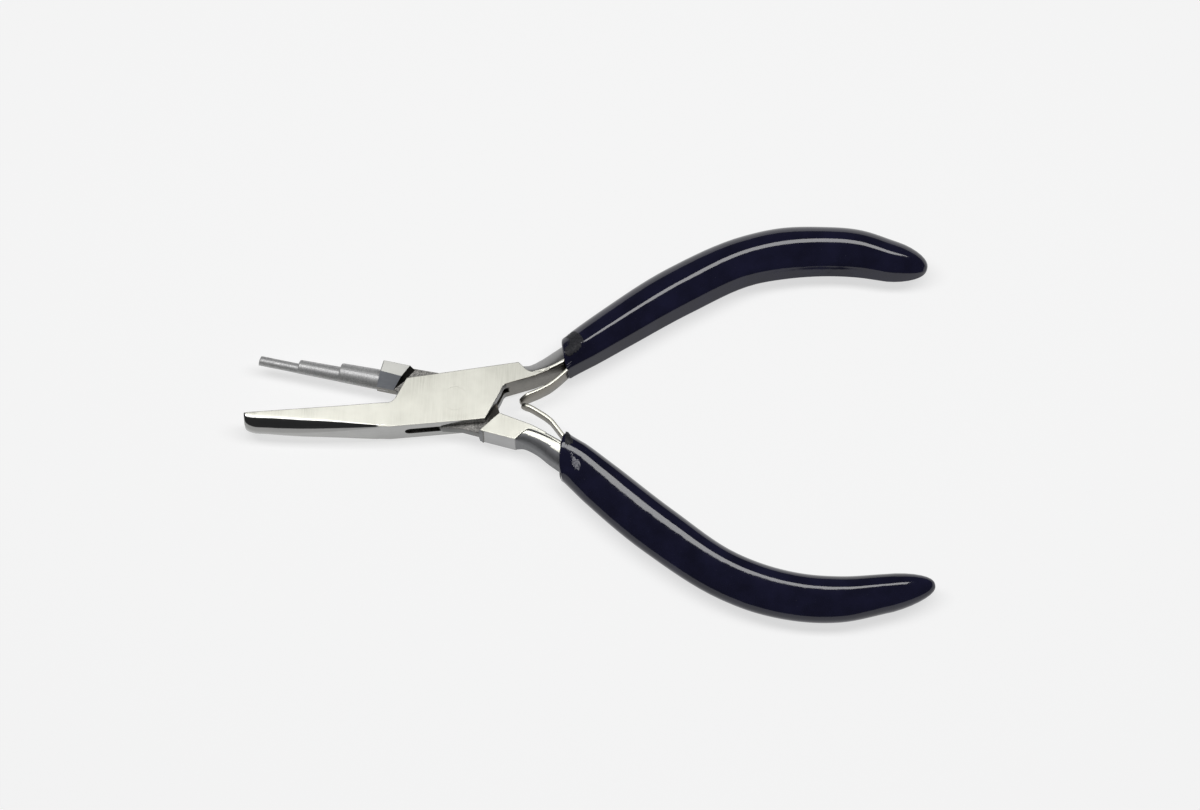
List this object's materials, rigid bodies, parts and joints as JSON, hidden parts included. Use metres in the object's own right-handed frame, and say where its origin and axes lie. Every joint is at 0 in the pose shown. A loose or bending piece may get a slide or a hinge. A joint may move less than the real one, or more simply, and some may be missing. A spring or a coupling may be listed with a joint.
{
  "type": "round nose wire-looping pliers",
  "caption": "Spring-opened box-joint pliers for looping wire: a stepped round jaw closes on a concave half-round jaw, with leaf springs between dipped plastic grips.",
  "frame": {"origin": "on the pivot's axis, at the outer face of the back cheek", "axes": "+X from the joint to the handles, +Z through the thickness from the back cheek to the front cheek, +Y towards the handle that carries the cheeks"},
  "size_m": [0.1405, 0.0845, 0.0098],
  "materials": {
    "box_steel": "satin ground stainless steel",
    "jaw_steel": "bead-blasted and ground stainless steel",
    "rivet_steel": "ground flush",
    "spring_steel": "rolled spring steel",
    "grip_pvc": "glossy dipped vinyl, very dark navy"
  },
  "bodies": {
    "outer_half": {"outer_half": "box_steel", "pivot_rivet": "rivet_steel", "upper_leaf_spring": "spring_steel", "upper_spring_rivet": "rivet_steel", "upper_grip": "grip_pvc"},
    "inner_half": {"inner_half": "jaw_steel", "lower_leaf_spring": "spring_steel", "lower_spring_rivet": "rivet_steel", "lower_grip": "grip_pvc"}
  },
  "joints": [
    {"name": "jaw_pivot", "type": "hinge", "parent": "outer_half", "child": "inner_half", "pos_m": [0, 0, 0.004], "axis": [0, 0, 1], "range_deg": [-10, 15], "stiffness_Nm_per_rad": 1, "deforming": ["upper_leaf_spring", "lower_leaf_spring"]}
  ]
}
